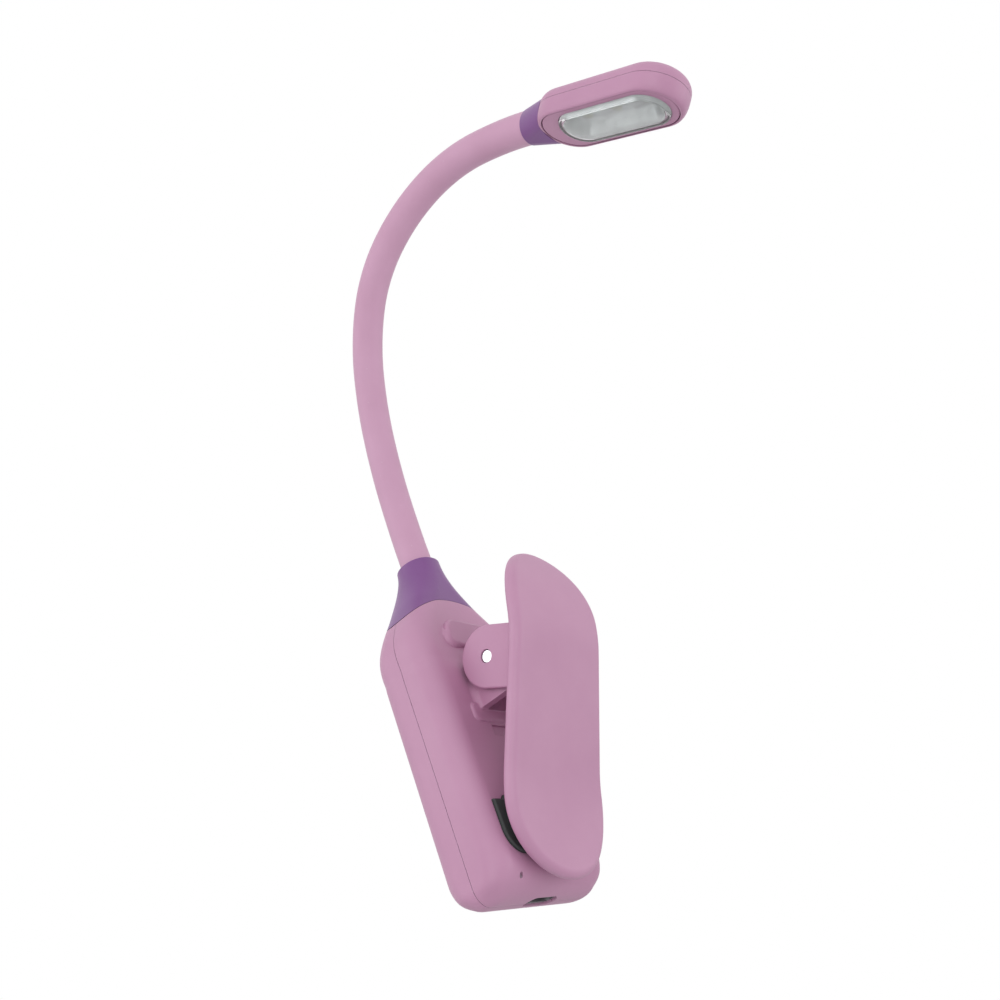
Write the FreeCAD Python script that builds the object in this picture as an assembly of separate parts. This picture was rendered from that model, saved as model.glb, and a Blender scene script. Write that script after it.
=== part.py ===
"""Clip-on reading lamp: a flat rechargeable body, a sprung clip lever on its front,
a bendable neck and an obround lamp head.

Frame: millimetres, +Z up along the body, -Y towards the lever, X across.
The origin is the middle of the grip pad's face on the body, where the clip holds.
"""
import os
from math import cos, hypot, pi, radians, sin, sqrt

import FreeCAD
import Part

Vector = FreeCAD.Vector

# ---------------------------------------------------------------- driving sizes
# body case
case_width = 38.4            # across X
case_depth = 16.6            # front face to back face
case_corner = 5.0            # rounding of the four long edges
case_bottom_corner = 3.9     # rounding of the bottom's two ends, seen from the front
case_bottom_round = 7.5      # rounding of the bottom seen from the side
case_bottom_z = -13.55
case_shoulder_z = 43.5       # where the sides start to draw in
case_side_ease = 0.95        # how late the sides draw in towards the rim
case_front_ease = 0.75       # how late the front does
case_back_ease = 3.0         # how late the back does
case_corner_ease = 2.25      # how early the section turns round
case_side_flat = 0.2         # flat left on each side of the rounded section
loft_lead = 5.0              # straight start of the drawn-in part
case_wall = 1.6
parting_gap = 0.12           # fine line between the two shells
neck_rim_z = 71.6            # top of the collar
collar_crest_z = 57.6        # top of the arch where collar and body meet
collar_arch_radius = 26.8
collar_gap = 0.1
collar_lip = 1.4             # wall round the neck at the collar's rim
collar_rim_round = 0.4

# grip pads
pad_side_inset = 1.55         # lever's edge to the side of the body's pad
pad_half_height = 6.2
pad_corner = 5.0
pad_thickness = 1.6
pad_proud = 0.7              # how far the body's pad stands out of the face
pad_notch_width = 6.0
pad_notch_depth = 0.9
pad_chamfer = 0.25
lever_pad_proud = 0.4
lever_pad_thickness = 1.4
lever_pad_length = 12.0
lever_pad_inset = 3.4        # lever's edge to the edge of its pad
pad_clearance = 0.1          # round each pad in its recess
pad_backing = 1.0            # case wall behind the body's pad

# hinge and lever
hinge_height = 35.1          # pin above the origin
hinge_reach = 8.0            # pin in front of the body's face
hinge_pin_radius = 1.5
hinge_pin_clearance = 0.05
hinge_pin_recess = 0.35      # pin ends sunk in the ears
hinge_pin_chamfer = 0.2
ear_radius = 7.0
ear_thickness = 1.8
ear_outer = 9.7              # half the width over both ears
ear_side_gap = 0.3           # between an ear and the cheek beside it
cheek_thickness = 2.3
cheek_head_radius = 5.2
cheek_foot_z = 26.6          # underside of the hinge cheeks
cheek_root_rise = 2.0        # pin up to where a cheek's top meets the face
cheek_foot_reach = 9.6       # how far the underside stands out of the face
plinth_side_gap = 0.1        # the step and the bar reach past the ears by this
plinth_low_z = 23.6          # low step that the cheeks stand on
plinth_high_z = 28.0
plinth_height = 0.5
plinth_corner = 1.0
boss_low_z = 42.7            # raised bar above the ears
boss_high_z = 49.9
boss_height = 1.0
raised_round_share = 0.85     # of a raised bar's height that its rounding takes
lever_angle = 27.7           # lean of the closed lever from the body's face
lever_width = 32.1           # across the jaw
lever_top_width = 30.6       # across the finger end
lever_thickness = 3.4
lever_inner_reach = 10.1      # pin to the lever's inner face
lever_top = 24.1             # pin to the top tip, along the lever
lever_bottom = 45.4          # pin to the jaw tip, along the lever
lever_curl_start = 2.6
lever_curl_radius = 29.0
lever_flare_start = 23.25
lever_flare_radius = 43.0
lever_edge_round = 1.5
lever_run_out = 3.0          # the blank's bends past both tips, cut off again
ear_edge_round = 0.4
lever_rib_height = 1.4
lever_rib_thickness = 1.3

# torsion spring
spring_wire_radius = 0.45
spring_coil_radius = 2.9
spring_turns = 4
spring_turn_gap = 0.12
spring_leg = 12.0            # leg that lies on the body
spring_short_leg = 3.0       # leg that pushes the lever
spring_slot_depth = 0.5      # groove in the face for the long leg
spring_pocket_gap = 2.5      # room round the coil

# neck
neck_radius = 4.0
neck_link_length = 18.0
neck_forward_bends = (8.0, 9.0, 10.5, 15.8, 24.2, 21.4, 26.5, 14.5)
neck_sideways_bends = (-6.8, -4.5, -2.2, 0.6, 2.5, -0.5, -4.5, -8.7)
neck_base_rise = 2.4         # collar's rim to the first bend
neck_ball_gap = 0.1
neck_core_radius = 2.6
neck_core_clearance = 0.08
neck_core_end_gap = 0.2
neck_wire_way = 1.4          # radius of the hollow through the core
neck_core_tail = 4.0         # core held inside the ferrule
neck_insert = 9.0            # straight end held inside the collar
neck_socket_clearance = 0.06

# lamp head
head_length = 39.5
head_width = 16.5
head_roll = -2.0             # degrees about its own axis
head_setback = 5.4           # neck end to the rear of the head
head_face_drop = 3.77        # neck axis to the lens face
head_wall = 1.4
head_parting_rise = 0.0      # neck axis to the line between housing and cover
head_seam = 0.08
head_top_rise = 3.47
head_cover_round = 2.9
head_barrel_inset = 1.15     # how far the housing's wall rounds in towards the lens
head_barrel_height = 3.3
head_barrel_steps = 6        # sections that the rounding is lofted through
bezel_length = 36.2
bezel_width = 13.9
bezel_thickness = 1.3
bezel_gap = 0.15
bezel_sink = 0.1             # bezel's face below the housing's rim
bezel_round = 0.35
lens_length = 29.4
lens_width = 11.4
lens_shift = 1.5             # window's middle from the head's middle, towards the tip
lens_proud = 0.9             # lens in front of the housing's rim
lens_round = 0.6
lens_gap = 0.08
lens_flange = 0.9            # width of the lip behind the bezel
lens_flange_thickness = 0.6
tray_height = 1.9
tray_floor = 0.7
tray_rim = 1.5
cavity_gap = 0.2             # round the lens lip inside the housing
stack_gap = 0.05             # between lens, tray and light board
ferrule_step = 0.25          # its small end stands out from the neck by this
ferrule_gap = 0.05           # between the sleeve's end and the ferrule
ferrule_lap = 3.6            # how far its flare reaches round the head's end
ferrule_side_inset = 1.3     # flare's edge in from the head's side
ferrule_top_inset = 0.15     # and in from the head's top and face
head_wire_way = 2.0          # radius of the hole that the wires pass
led_count = 3
led_spacing = 8.6
led_size = 2.8
led_gap = 0.2
led_height = 0.7
led_board_thickness = 0.8

# electronics in the case
battery_width = 28.0
battery_height = 36.0
battery_depth = 5.4
battery_gap = 0.25
battery_round = 1.8
battery_rise = 12.0          # above the case's bottom
board_width = 30.0
board_height = 47.0
board_thickness = 1.2
board_rise = 1.2             # behind the parting plane
board_gap = 0.6              # round the screw posts
board_floor_gap = 1.0        # to the case's floor
usb_width = 9.0
usb_height = 3.3
usb_length = 7.4
usb_clearance = 0.35
usb_sheet = 0.35             # metal of the socket's shroud
usb_sink = 0.5               # mouth in from the case's bottom
usb_back_wall = 1.2
usb_tongue_thickness = 0.7
switch_size = 6.0
switch_height = 1.2
switch_plunger_radius = 1.7
switch_play = 0.05           # between the plunger and the pressed button
button_length = 13.0
button_width = 9.0
button_proud = 0.7
button_travel = 0.6
button_z = 32.0
button_gap = 0.15
button_edge_round = 0.6
button_flange = 0.9          # lip that keeps the button in
button_flange_play = 0.05
indicator_x = -11.9
indicator_z = -10.1
indicator_radius = 0.55
indicator_length = 4.0
indicator_sink = 0.4         # light's end behind the mouth of its hole
indicator_fit = 0.05
screw_radius = 1.1
screw_head_radius = 2.0
screw_head_depth = 1.3
screw_length = 9.0
screw_fit = 0.05
screw_hole_gap = 0.15
screw_sink = 0.3             # head below the back face
screw_cross_width = 0.44
screw_cross_length = 2.4
screw_cross_depth = 0.6
screw_post_wall = 0.9
screw_inset_x = 5.6
screw_low_z = -5.5
screw_high_z = 39.5

# ---------------------------------------------------------------- derived places
case_half = case_width / 2
face_y = pad_proud                       # front face of the case
centre_y = face_y + case_depth / 2       # parting plane and neck axis
back_y = face_y + case_depth
pin_y = face_y - hinge_reach
pin_z = hinge_height
cheek_outer = ear_outer - ear_thickness - ear_side_gap
cheek_inner = cheek_outer - cheek_thickness
ear_inner = ear_outer - ear_thickness
neck_base_z = neck_rim_z + neck_base_rise
neck_root = neck_insert + neck_base_rise - neck_ball_gap
plinth_half_width = ear_outer + plinth_side_gap
pad_half_width = lever_width / 2 - pad_side_inset
board_y = centre_y + board_rise
button_underside_y = back_y - case_wall - button_flange_play - button_flange
usb_y = board_y - usb_height / 2
screw_post_radius = screw_head_radius + screw_post_wall
head_middle = head_setback + head_length / 2
window_middle = head_middle + lens_shift
bezel_low = -head_face_drop + bezel_sink
bezel_high = -head_face_drop + bezel_thickness
lens_flange_low = bezel_high + stack_gap
tray_low = lens_flange_low + lens_flange_thickness + stack_gap
tray_high = tray_low + tray_height
root_depth = case_wall / 2               # how far into the wall a rib or a post is rooted
through = 2 * case_width                 # long enough to cut right through any piece
overcut = 1.0                            # cutters reach past a face by this
same = 1e-6                              # two lengths this close are taken as one
tiny = 0.05                              # flat left on an almost full round
X_AXIS = Vector(1, 0, 0)
Y_AXIS = Vector(0, 1, 0)
Z_AXIS = Vector(0, 0, 1)


# ---------------------------------------------------------------- small helpers
def box(x0, x1, y0, y1, z0, z1):
    return Part.makeBox(x1 - x0, y1 - y0, z1 - z0, Vector(x0, y0, z0))


def cylinder(radius, start, direction, length):
    return Part.makeCylinder(radius, length, start, direction)


def fused(first, *others):
    return first.multiFuse(list(others)).removeSplitter()


def rounded_rectangle(half_x, half_y, corner):
    """Closed wire in the XY plane, centred on the origin: four sides and four arcs."""
    dx, dy, r = half_x, half_y, corner
    k = r * (1 - sqrt(0.5))
    arcs = []
    for sx, sy in ((1, 1), (-1, 1), (-1, -1), (1, -1)):
        side = Vector(sx * dx, sy * (dy - r), 0)
        middle = Vector(sx * (dx - k), sy * (dy - k), 0)
        end = Vector(sx * (dx - r), sy * dy, 0)
        ordered = (side, middle, end) if sx * sy > 0 else (end, middle, side)
        arcs.append(Part.Arc(*ordered).toShape())
    edges = []
    for i, arc in enumerate(arcs):
        following = arcs[(i + 1) % 4]
        edges.append(arc)
        start, end = arc.Vertexes[-1].Point, following.Vertexes[0].Point
        edges.append(Part.makeLine(start, end))
    return Part.Wire(edges)


def prism(wire, direction):
    return Part.Face(wire).extrude(direction)


def obround_prism(length, width, height):
    """Straight-sided plate with half-round ends along X, standing on the XY plane."""
    return prism(rounded_rectangle(length / 2, width / 2, width / 2 - tiny), Vector(0, 0, height))


def polygon(points):
    return Part.makePolygon(list(points) + [points[0]])


def placed(shape, placement):
    copy = shape.copy()
    copy.Placement = placement.multiply(copy.Placement)
    return copy


def frame_placement(origin, x_dir, y_dir, z_dir):
    matrix = FreeCAD.Matrix(
        x_dir.x, y_dir.x, z_dir.x, origin.x,
        x_dir.y, y_dir.y, z_dir.y, origin.y,
        x_dir.z, y_dir.z, z_dir.z, origin.z,
        0, 0, 0, 1)
    return FreeCAD.Placement(matrix)


# ---------------------------------------------------------------- case form
def ease(t):
    return t * t * (3 - 2 * t)


def bottom_inset(height, radius):
    """How far a bottom rounding draws a side in, at a height above the bottom."""
    below = min(radius, max(0.0, radius - height))
    return radius - sqrt(radius * radius - below * below)


def case_section(z, inset=0.0):
    """Horizontal outline of the case at height z, drawn in by inset. Above the shoulder the
    sides, front and back each ease in to the rim round the neck; low down they round in to
    the bottom."""
    t = min(1.0, max(0.0, (z - case_shoulder_z) / (neck_rim_z - case_shoulder_z)))
    rim = neck_radius + collar_lip

    def drawn_in(full, lateness):
        return full - (full - rim) * ease(t ** lateness)

    half_x = drawn_in(case_half, case_side_ease) - inset
    front, back = drawn_in(case_depth / 2, case_front_ease), drawn_in(case_depth / 2, case_back_ease)
    half_y = (front + back) / 2 - inset
    full_round = min(half_x, half_y) + inset - case_side_flat
    corner = case_corner + (full_round - case_corner) * min(1.0, case_corner_ease * t) - inset
    height = z - case_bottom_z - inset
    half_x -= bottom_inset(height, case_bottom_corner - inset)
    half_y -= bottom_inset(height, case_bottom_round - inset)
    wire = rounded_rectangle(half_x, half_y, min(corner, half_y - tiny))
    wire.translate(Vector(0, centre_y + (back - front) / 2, z))
    return wire


def case_loft(heights, inset):
    return Part.makeLoft([case_section(z, inset) for z in heights], True, False)


def case_form(inset=0.0):
    """Solid of the whole outside of body and collar; inset gives the hollow within."""
    low = case_bottom_z + inset
    radius = case_bottom_round - inset
    steps = 16
    heights = [low + radius * (1 - cos(pi / 2 * i / steps)) for i in range(steps + 1)]
    lower = case_loft(heights, inset)
    joint_z = case_shoulder_z - loft_lead
    middle = prism(case_section(heights[-1], inset), Vector(0, 0, joint_z - heights[-1]))
    steps = 11
    heights = [joint_z, case_shoulder_z - loft_lead / 2]
    heights += [case_shoulder_z + (neck_rim_z - case_shoulder_z) * i / steps
                for i in range(1, steps + 1)]
    return fused(lower, middle, case_loft(heights, inset))


def arch(offset):
    """Everything below the arched joint between body and collar, raised by offset."""
    radius = collar_arch_radius + offset
    centre = Vector(0, centre_y - case_depth, collar_crest_z - collar_arch_radius)
    disc = cylinder(radius, centre, Y_AXIS, 2 * case_depth)
    below = box(-case_width, case_width, face_y - case_depth, back_y + case_depth,
                case_bottom_z - through, centre.z)
    return disc.fuse(below)


def case_hollow():
    """Space inside the shells: under the arch, with the top closed by a wall."""
    return case_form(case_wall).common(arch(-case_wall))


indicator_y = face_y + bottom_inset(indicator_z - case_bottom_z, case_bottom_round) + indicator_sink


# ---------------------------------------------------------------- hinge on the body
def side_profile(points, x0, x1):
    """Prism across X from a list of (y, z) points."""
    wire = polygon([Vector(x0, y, z) for y, z in points])
    return prism(wire, Vector(x1 - x0, 0, 0))


def pin_hole(y, z):
    return cylinder(hinge_pin_radius + hinge_pin_clearance, Vector(-through / 2, y, z),
                    X_AXIS, through)


def hinge_cheek(side):
    """One cheek that carries the pin, foot to rounded head."""
    x0, x1 = sorted((side * cheek_inner, side * cheek_outer))
    foot_y = face_y - cheek_foot_reach
    root_y = face_y + root_depth
    head_top = pin_z + cheek_head_radius
    blade = side_profile([
        (root_y, cheek_foot_z), (foot_y, cheek_foot_z),
        (pin_y - cheek_head_radius, pin_z), (pin_y, head_top),
        (root_y, pin_z + cheek_root_rise)], x0, x1)
    head = cylinder(cheek_head_radius, Vector(x0, pin_y, pin_z), X_AXIS, x1 - x0)
    return fused(blade, head).cut(pin_hole(pin_y, pin_z))


def raised_bar(low_z, high_z, height, corner):
    """Rounded plate standing out of the front face, rooted in the wall."""
    depth = height + root_depth
    outline = rounded_rectangle(plinth_half_width, (high_z - low_z) / 2, corner)
    bar = prism(outline, Vector(0, 0, depth))
    front_edges = [e for e in bar.Edges if all(v.Point.z > depth - same for v in e.Vertexes)]
    bar = bar.makeFillet(height * raised_round_share, front_edges)
    origin = Vector(0, face_y + root_depth, (low_z + high_z) / 2)
    return placed(bar, frame_placement(origin, X_AXIS, Z_AXIS, Vector(0, -1, 0)))


def hinge_plinth():
    """Low step under the cheeks and a thicker rounded bar above the ears."""
    step = raised_bar(plinth_low_z, plinth_high_z, plinth_height, plinth_corner)
    bar_corner = (boss_high_z - boss_low_z) / 2 - tiny
    bar = raised_bar(boss_low_z, boss_high_z, boss_height, bar_corner)
    pocket = box(-cheek_inner, cheek_inner, face_y - hinge_reach, face_y,
                 cheek_foot_z, boss_low_z)
    return step.fuse(bar).cut(pocket)


def pad_outline(half_width, half_height, corner):
    """Grip pad seen from the front: square top with a notch, rounded lower corners."""
    w, h, r = half_width, half_height, corner
    k = r * (1 - sqrt(0.5))
    notch, dip = pad_notch_width / 2, pad_notch_depth
    left = Part.Arc(Vector(-w, 0, -h + r), Vector(-w + k, 0, -h + k), Vector(-w + r, 0, -h))
    right = Part.Arc(Vector(w - r, 0, -h), Vector(w - k, 0, -h + k), Vector(w, 0, -h + r))
    corners = [Vector(w, 0, -h + r), Vector(w, 0, h - dip), Vector(w - notch, 0, h - dip),
               Vector(w - notch - dip, 0, h), Vector(-w + notch + dip, 0, h),
               Vector(-w + notch, 0, h - dip), Vector(-w, 0, h - dip), Vector(-w, 0, -h + r)]
    edges = [left.toShape(), Part.makeLine(Vector(-w + r, 0, -h), Vector(w - r, 0, -h)),
             right.toShape()]
    edges += [Part.makeLine(a, b) for a, b in zip(corners, corners[1:])]
    return Part.Wire(edges)


def body_pad(growth=0.0):
    wire = pad_outline(pad_half_width + growth, pad_half_height + growth, pad_corner + growth)
    pad = prism(wire, Vector(0, pad_thickness, 0))
    if growth:
        return pad
    front = [e for e in pad.Edges if all(abs(v.Point.y) < same for v in e.Vertexes)]
    return pad.makeChamfer(pad_chamfer, front)


# ---------------------------------------------------------------- case openings
def usb_opening():
    half_x = usb_width / 2 + usb_clearance
    half_y = usb_height / 2 + usb_clearance
    tunnel = prism(rounded_rectangle(half_x, half_y, half_y - tiny),
                   Vector(0, 0, case_wall + usb_length))
    tunnel.translate(Vector(0, usb_y, case_bottom_z - case_wall))
    return tunnel


def screw_places():
    low = case_half - screw_inset_x
    return [(side * low, z) for side in (-1, 1) for z in (screw_low_z, screw_high_z)]


def screw_bosses(y0, y1, radius):
    posts = [cylinder(radius, Vector(x, y0, z), Y_AXIS, y1 - y0) for x, z in screw_places()]
    return posts[0].multiFuse(posts[1:])


def button_outline(growth):
    half_x = button_length / 2 + growth
    half_z = button_width / 2 + growth
    return rounded_rectangle(half_x, half_z, half_z - tiny)


def button_prism(growth, y0, y1):
    solid = prism(button_outline(growth), Vector(0, 0, y1 - y0))
    return placed(solid, frame_placement(Vector(0, y0, button_z), Vector(-1, 0, 0), Z_AXIS, Y_AXIS))


def half_case(y0, y1):
    """Hollow shell of the body between two depths."""
    shell = case_form().common(arch(0)).cut(case_hollow())
    return shell.common(box(-case_width, case_width, y0, y1, case_bottom_z, neck_rim_z))


def front_shell():
    inner_y = centre_y - parting_gap / 2
    half = half_case(face_y, inner_y)
    posts = screw_bosses(face_y + root_depth, inner_y, screw_radius + screw_post_wall)
    half = fused(half, posts, hinge_plinth(), hinge_cheek(-1), hinge_cheek(1))
    pad_floor = body_pad(pad_clearance)
    backing = placed(pad_floor, FreeCAD.Placement(Vector(0, pad_backing, 0), FreeCAD.Rotation()))
    half = fused(half, backing).cut(pad_floor)
    pilot = screw_bosses(back_y - screw_head_depth - screw_length, back_y, screw_radius)
    half = half.cut(pilot).cut(usb_opening())
    hole = cylinder(indicator_radius, Vector(indicator_x, face_y - overcut, indicator_z), Y_AXIS,
                    indicator_y + indicator_length + overcut - face_y)
    spring_slot = box(-cheek_inner, cheek_inner, face_y - hinge_reach, face_y + spring_slot_depth,
                      pin_z - spring_leg - spring_pocket_gap, pin_z)
    return half.cut(hole).cut(spring_slot)


def back_shell():
    inner_y = centre_y + parting_gap / 2
    half = half_case(inner_y, back_y)
    half = fused(half, screw_bosses(inner_y, back_y - root_depth, screw_post_radius))
    heads = screw_bosses(back_y - screw_head_depth, back_y + overcut,
                         screw_head_radius + screw_hole_gap)
    shanks = screw_bosses(centre_y, back_y, screw_radius + screw_hole_gap)
    half = half.cut(heads).cut(shanks).cut(usb_opening())
    return half.cut(button_prism(button_gap, back_y - 2 * case_wall, back_y + overcut))


def neck_collar():
    """Flared end of the body: a saddle-cut shell with a bore for the neck."""
    above = case_form().cut(arch(collar_gap))
    bore = cylinder(neck_radius + neck_socket_clearance,
                    Vector(0, centre_y, neck_rim_z - neck_insert), Z_AXIS,
                    neck_insert + overcut)
    wire_way = cylinder(neck_core_radius, Vector(0, centre_y, case_shoulder_z), Z_AXIS,
                        neck_rim_z - case_shoulder_z)
    rim = [e for e in above.Edges if all(abs(v.Point.z - neck_rim_z) < same for v in e.Vertexes)]
    return above.makeFillet(collar_rim_round, rim).cut(bore).cut(wire_way)


# ---------------------------------------------------------------- lever
lever_along = Vector(0, -sin(radians(lever_angle)), cos(radians(lever_angle)))
lever_out = Vector(0, -cos(radians(lever_angle)), -sin(radians(lever_angle)))
lever_place = frame_placement(Vector(0, pin_y, pin_z), X_AXIS, lever_along, lever_out)


def lever_profile(inner, outer, curl_length, flare_length):
    """Side view between two offsets from the pin, in the lever's own frame: straight in the
    middle, curling in at the top and flaring out at the jaw over the given lengths."""
    middle = lever_inner_reach + lever_thickness / 2
    curl_centre = middle - lever_curl_radius
    flare_centre = middle + lever_flare_radius

    def curl(n, angle):
        radius = n - curl_centre
        return Vector(0, lever_curl_start + radius * sin(angle), curl_centre + radius * cos(angle))

    def flare(n, angle):
        radius = flare_centre - n
        return Vector(0, -lever_flare_start - radius * sin(angle),
                      flare_centre - radius * cos(angle))

    def arc(form, n, end):
        return [form(n, end * share) for share in (0.0, 0.5, 1.0)]

    high_angle, low_angle = curl_length / lever_curl_radius, flare_length / lever_flare_radius
    edges = []
    top_outer, top_inner = arc(curl, outer, high_angle), arc(curl, inner, high_angle)
    low_outer, low_inner = arc(flare, outer, low_angle), arc(flare, inner, low_angle)
    edges.append(Part.makeLine(low_outer[0], top_outer[0]))
    edges.append(Part.Arc(*top_outer).toShape())
    edges.append(Part.makeLine(top_outer[2], top_inner[2]))
    edges.append(Part.Arc(*reversed(top_inner)).toShape())
    edges.append(Part.makeLine(top_inner[0], low_inner[0]))
    edges.append(Part.Arc(*low_inner).toShape())
    edges.append(Part.makeLine(low_inner[2], low_outer[2]))
    edges.append(Part.Arc(*reversed(low_outer)).toShape())
    return Part.Wire(edges)


def tapered_outline(inset):
    """Lever seen from the front: two half rounds of different size joined by their tangents."""
    top, low = lever_top - inset, inset - lever_bottom
    top_radius, low_radius = lever_top_width / 2 - inset, lever_width / 2 - inset
    top_centre, low_centre = top - top_radius, low + low_radius
    rise = (low_radius - top_radius) / (top_centre - low_centre)
    across = sqrt(1 - rise * rise)

    def side_point(centre, radius, side):
        return Vector(side * radius * across, centre + radius * rise, 0)

    upper = [side_point(top_centre, top_radius, 1), Vector(0, top, 0),
             side_point(top_centre, top_radius, -1)]
    lower = [side_point(low_centre, low_radius, -1), Vector(0, low, 0),
             side_point(low_centre, low_radius, 1)]
    return Part.Wire([Part.Arc(*upper).toShape(), Part.makeLine(upper[2], lower[0]),
                      Part.Arc(*lower).toShape(), Part.makeLine(lower[2], upper[0])])


def lever_slab(inner, outer, inset):
    """Bent plate between two offsets, cut to the plan view."""
    curl_length = lever_top + lever_run_out
    flare_length = lever_bottom - lever_flare_start + lever_run_out
    wire = lever_profile(inner, outer, curl_length, flare_length)
    wire.translate(Vector(-lever_width, 0, 0))
    slab = prism(wire, Vector(2 * lever_width, 0, 0))
    outline = tapered_outline(inset)
    outline.translate(Vector(0, 0, -lever_bottom))
    return slab.common(prism(outline, Vector(0, 0, 2 * lever_bottom)))


def lever_ear(side):
    x0, x1 = sorted((side * ear_inner, side * ear_outer))
    disc = cylinder(ear_radius, Vector(x0, 0, 0), X_AXIS, ear_thickness)
    web = box(x0, x1, -ear_radius, ear_radius, 0, lever_inner_reach + lever_thickness / 2)
    ear = fused(disc, web)
    outer_x = side * ear_outer
    rim = [e for e in ear.Edges if all(abs(v.Point.x - outer_x) < same for v in e.Vertexes)]
    return ear.makeFillet(ear_edge_round, rim)


def lever_pad_shape(growth, thickness):
    """Grip pad let into the lever's inner face near the jaw tip."""
    inner = lever_inner_reach - lever_pad_proud
    slab = lever_slab(inner, inner + thickness, lever_pad_inset - growth)
    strip_top = -lever_bottom + lever_pad_inset + lever_pad_length
    strip = box(-lever_width, lever_width, -lever_bottom, strip_top + growth, 0, lever_bottom)
    return slab.common(strip)


def clip_lever():
    plate = lever_slab(lever_inner_reach, lever_inner_reach + lever_thickness, 0)
    rim = [e for e in plate.Edges if e.Length > 1.1 * lever_thickness]
    plate = plate.makeFillet(lever_edge_round, rim)
    lever = fused(plate, lever_ear(-1), lever_ear(1))
    tie = box(-ear_inner, ear_inner, ear_radius - lever_rib_thickness, ear_radius,
              lever_inner_reach - lever_rib_height, lever_inner_reach + overcut)
    lever = fused(lever, tie)
    lever = lever.cut(pin_hole(0, 0))
    recess = lever_pad_shape(pad_clearance, lever_pad_thickness + pad_clearance)
    return placed(lever.cut(recess), lever_place)


def lever_grip_pad():
    return placed(lever_pad_shape(0.0, lever_pad_thickness), lever_place)


def hinge_pin():
    half = ear_outer - hinge_pin_recess
    pin = cylinder(hinge_pin_radius, Vector(-half, pin_y, pin_z), X_AXIS, 2 * half)
    ends = [e for e in pin.Edges if abs(e.Length - 2 * pi * hinge_pin_radius) < 1e-3]
    return pin.makeChamfer(hinge_pin_chamfer, ends)


def torsion_spring():
    """Coil round the pin with one leg on the body and one on the lever."""
    pitch = 2 * spring_wire_radius + spring_turn_gap
    length = pitch * spring_turns
    helix = Part.makeHelix(pitch, length, spring_coil_radius)
    ring = Part.Wire(Part.makeCircle(spring_wire_radius, Vector(spring_coil_radius, 0, 0), Y_AXIS))
    coil = Part.Wire(helix).makePipeShell([ring], True, False)
    leg_start = Vector(spring_coil_radius, 0, 0)
    leg_end = Vector(spring_coil_radius, 0, length)
    first = cylinder(spring_wire_radius, leg_start, Vector(0, -1, 0), spring_leg)
    tilt = radians(lever_angle)
    second = cylinder(spring_wire_radius, leg_end, Vector(sin(tilt), cos(tilt), 0),
                      spring_short_leg)
    spring = coil.multiFuse([first, second])
    # coil axis along X, the first leg hanging down beside the body's face
    origin = Vector(-length / 2, pin_y, pin_z)
    return placed(spring, frame_placement(origin, Y_AXIS, Z_AXIS, X_AXIS))


# ---------------------------------------------------------------- neck
def neck_frames():
    """Start of each link: (point, side, front, tangent, bend axis, bend angle)."""
    rotation = FreeCAD.Rotation()
    point = Vector(0, centre_y, neck_base_z)
    frames = []
    for forward, sideways in zip(neck_forward_bends, neck_sideways_bends):
        angle = hypot(forward, sideways)
        local_axis = Vector(forward, sideways, 0)
        local_axis.normalize()
        axis = rotation.multVec(local_axis)
        tangent = rotation.multVec(Z_AXIS)
        frames.append((point, rotation, axis, tangent, angle))
        radius = neck_link_length / radians(angle)
        centre = point + axis.cross(tangent) * radius
        turn = FreeCAD.Rotation(axis, angle)
        point = centre + turn.multVec(point - centre)
        rotation = turn.multiply(rotation)
    frames.append((point, rotation, None, rotation.multVec(Z_AXIS), 0.0))
    return frames


def bent_rod(frame, radius, start_share, end_share):
    """Round rod along part of one link's arc."""
    point, rotation, axis, tangent, angle = frame
    arc_radius = neck_link_length / radians(angle)
    centre = point + axis.cross(tangent) * arc_radius
    disc = Part.Face(Part.Wire(Part.makeCircle(radius, point, tangent)))
    disc.rotate(centre, axis, angle * start_share)
    return disc.revolve(centre, axis, angle * (end_share - start_share))


def half_ball(radius, point, tangent):
    return Part.makeSphere(radius, point, tangent, 0, 90, 360)


def neck_sleeve(index, frames):
    """Soft outer sleeve of one link: socket at its root, ball at its tip."""
    frame, following = frames[index], frames[index + 1]
    point, tangent = frame[0], frame[3]
    sleeve = bent_rod(frame, neck_radius, 0, 1)
    bore_radius = neck_core_radius + neck_core_clearance
    bore = bent_rod(frame, bore_radius, 0, 1)
    if index == 0:
        root = cylinder(neck_radius, point - tangent * neck_root, tangent, neck_root)
        root_bore = cylinder(bore_radius, point - tangent * neck_root, tangent, neck_root)
        sleeve, bore = sleeve.fuse(root), bore.fuse(root_bore)
    if index < len(neck_forward_bends) - 1:
        sleeve = sleeve.fuse(half_ball(neck_radius, following[0], following[3]))
    sleeve = sleeve.cut(bore)
    if index > 0:
        socket = Part.makeSphere(neck_radius + neck_ball_gap, point)
        sleeve = sleeve.cut(socket)
    return sleeve


def neck_core(index, frames):
    """Bendable metal core inside one link's sleeve."""
    frame = frames[index]
    socket = neck_radius + neck_ball_gap + neck_core_end_gap
    start = 0.0 if index == 0 else socket / neck_link_length
    last = index == len(neck_forward_bends) - 1
    end = 1.0 if last else 1 - neck_core_end_gap / neck_link_length
    core = bent_rod(frame, neck_core_radius, start, end)
    if index == 0:
        point, tangent = frame[0], frame[3]
        core = core.fuse(cylinder(neck_core_radius, point - tangent * neck_root, tangent, neck_root))
        wire_root = cylinder(neck_wire_way, point - tangent * neck_root, tangent, neck_root)
        core = core.cut(wire_root)
    if last:
        tip, tangent = frames[-1][0], frames[-1][3]
        core = core.fuse(cylinder(neck_core_radius, tip, tangent, neck_core_tail))
        core = core.cut(cylinder(neck_wire_way, tip, tangent, neck_core_tail))
    return core.cut(bent_rod(frame, neck_wire_way, 0, 1))


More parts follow.
